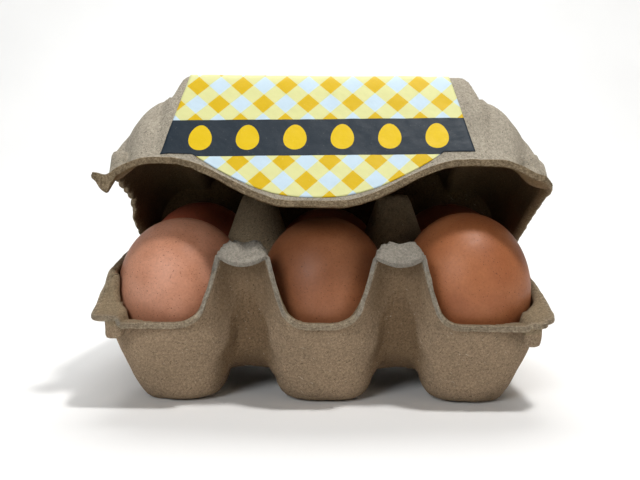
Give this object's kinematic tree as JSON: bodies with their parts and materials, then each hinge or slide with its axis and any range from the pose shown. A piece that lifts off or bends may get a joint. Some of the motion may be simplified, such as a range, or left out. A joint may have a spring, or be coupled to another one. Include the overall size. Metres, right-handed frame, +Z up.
{
  "type": "egg carton with eggs",
  "caption": "Open moulded-pulp egg carton with a hinged lid, brown eggs standing in its cups and a paper label wrapped over the front of the lid.",
  "frame": {"origin": "on the table under the middle of the open carton's outline, seen from above", "axes": "+X along the carton to the right, +Y from the open front towards the hinge, +Z up"},
  "size_m": [0.1499, 0.1082, 0.1075],
  "materials": {
    "tray_pulp": "matte",
    "lid_pulp": "matte",
    "label_paper": "satin",
    "egg_shell": "satin"
  },
  "bodies": {
    "carton": {"tray": "tray_pulp", "egg_front_left": "egg_shell", "egg_front_centre": "egg_shell", "egg_front_right": "egg_shell", "egg_back_left": "egg_shell", "egg_back_centre": "egg_shell", "egg_back_right": "egg_shell"},
    "lid": {"lid": "lid_pulp", "label": "label_paper"}
  },
  "joints": [
    {"name": "lid_hinge", "type": "hinge", "parent": "carton", "child": "lid", "pos_m": [0, 0.0485, 0.0292], "axis": [-1, 0, 0], "range_deg": [-23.6, 118]}
  ]
}
